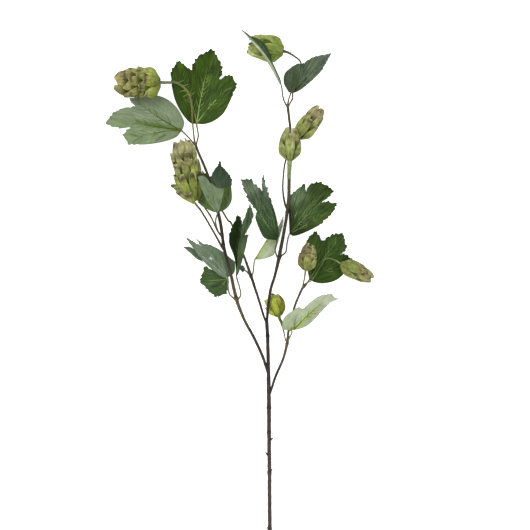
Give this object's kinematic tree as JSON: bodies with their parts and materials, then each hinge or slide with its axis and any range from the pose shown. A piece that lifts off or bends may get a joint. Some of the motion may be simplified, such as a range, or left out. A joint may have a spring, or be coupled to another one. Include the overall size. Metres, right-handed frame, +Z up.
{
  "type": "hop bine",
  "caption": "Cut hop bine lying flat: a straight woody stem forking into slender side branches, with lobed toothed leaves and plump scaly green cones on thin stalks.",
  "frame": {"origin": "on the surface, under the middle of the whole spray's bounding box", "axes": "+Y from the cut end of the stem towards the top of the spray, +X to the right seen from above, +Z up from the surface it lies on"},
  "size_m": [0.403, 0.774, 0.047],
  "materials": {
    "stem_bark": "dark brown bark, matt",
    "green_stalk": "olive green stalk, satin",
    "leaf_green": "dark green upper leaf face with paler veins, matt",
    "leaf_pale": "pale grey-green leaf underside, matt",
    "cone_green": "yellow-green papery scales with purple-brown tips, matt"
  },
  "bodies": {
    "root": {"stem_lower": "stem_bark", "stem_upper": "stem_bark", "branch_right": "stem_bark", "branch_left": "stem_bark", "branch_mid_left": "stem_bark", "branch_top": "stem_bark", "leaf_1": "leaf_green", "leaf_2": "leaf_pale", "leaf_3_lower": "leaf_green", "leaf_3_upper": "leaf_pale", "leaf_3_tip": "leaf_green", "leaf_4_upper": "leaf_pale", "leaf_4_lower": "leaf_green", "leaf_4_side": "leaf_green", "leaf_5": "leaf_green", "leaf_6": "leaf_green", "leaf_7": "leaf_green", "leaf_8": "leaf_pale", "leaf_9": "leaf_green", "leaf_10": "leaf_pale", "leaf_11": "leaf_green", "leaf_12": "leaf_green", "leaf_13": "leaf_green", "stalk_leaf_1": "green_stalk", "stalk_leaf_2": "green_stalk", "stalk_leaf_3": "green_stalk", "stalk_leaf_4": "green_stalk", "stalk_leaf_5": "green_stalk", "stalk_leaf_6": "green_stalk", "stalk_leaf_7": "green_stalk", "stalk_leaf_8": "green_stalk", "stalk_leaf_9": "green_stalk", "stalk_leaf_10": "green_stalk", "stalk_leaf_11": "green_stalk", "stalk_leaf_12": "green_stalk", "stalk_leaf_13": "green_stalk", "cone_1": "cone_green", "cone_2": "cone_green", "cone_3": "cone_green", "cone_4": "cone_green", "cone_5": "cone_green", "cone_6": "cone_green", "cone_7": "cone_green", "cone_8": "cone_green", "stalk_cone_1": "green_stalk", "stalk_cone_2": "green_stalk", "stalk_cone_3": "green_stalk", "stalk_cone_4": "green_stalk", "stalk_cone_5": "green_stalk", "stalk_cone_6": "green_stalk", "stalk_cone_7": "green_stalk", "stalk_cone_8": "green_stalk", "stalk_side": "green_stalk"}
  },
  "joints": []
}
